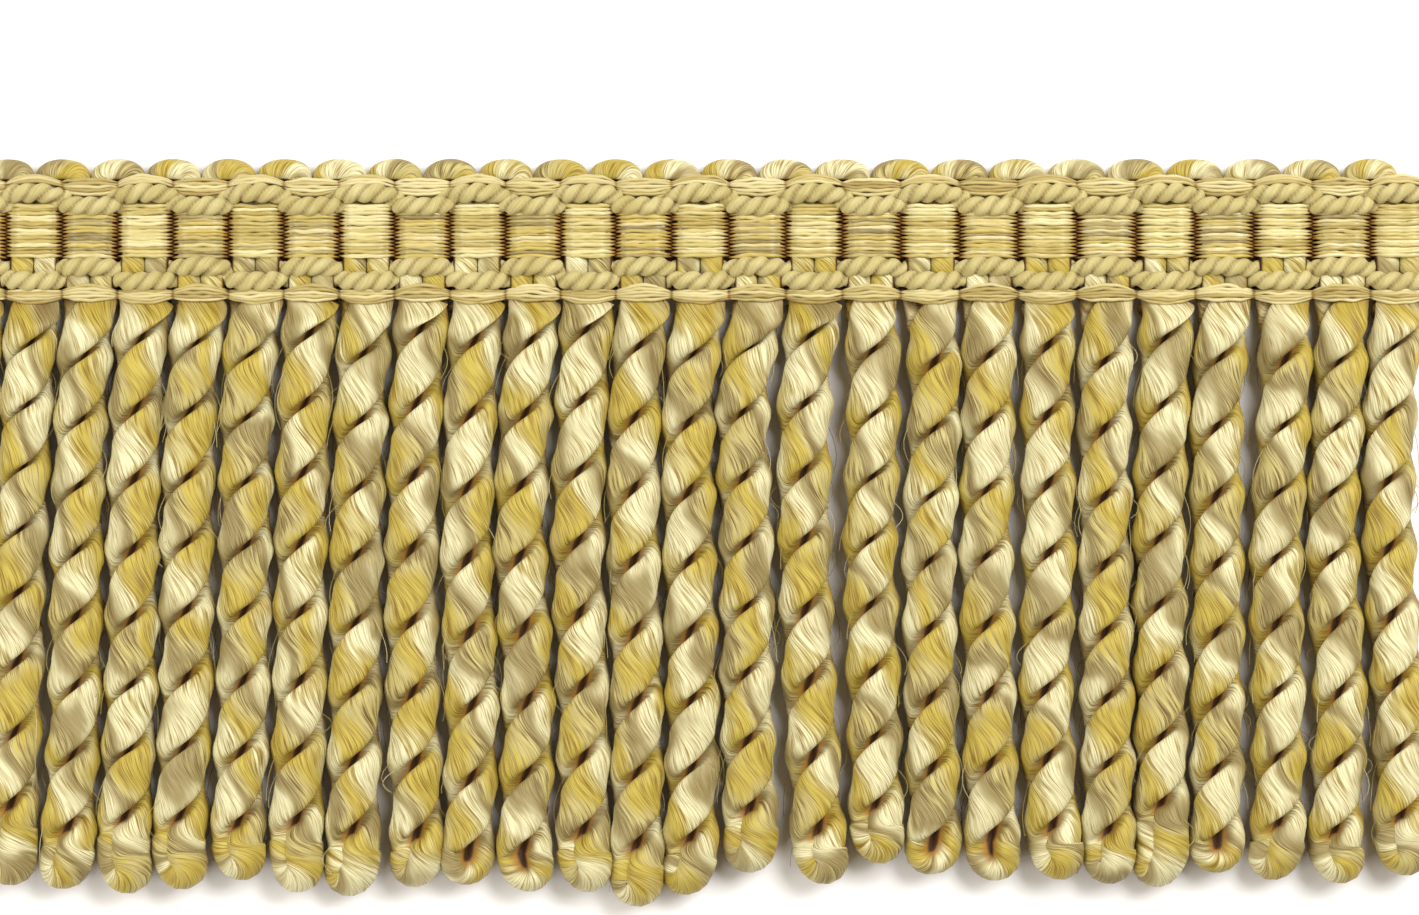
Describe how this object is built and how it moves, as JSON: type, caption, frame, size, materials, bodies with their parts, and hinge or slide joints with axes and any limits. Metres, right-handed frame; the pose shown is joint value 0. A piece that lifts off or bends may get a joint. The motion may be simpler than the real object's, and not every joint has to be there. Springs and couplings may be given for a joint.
{
  "type": "cord fringe trim",
  "caption": "Cut length of bullion fringe: a woven, scalloped heading with soft two-ply twisted cords hanging from its lower edge.",
  "frame": {"origin": "centre of the heading's flat underside, the face that is sewn or glued down", "axes": "+X along the trim's length, +Y from the cords' folded ends towards the heading's scalloped edge, +Z out of the face that shows"},
  "size_m": [0.15, 0.075, 0.005],
  "materials": {
    "heading_yarn": "matt and satin warp yarns in pale straw and khaki gold",
    "fringe_yarn": "soft satin yarn in cream, golden yellow and taupe, twisted together"
  },
  "bodies": {
    "root": {"heading": "heading_yarn", "fringe_left": "fringe_yarn", "fringe_right": "fringe_yarn"}
  },
  "joints": []
}
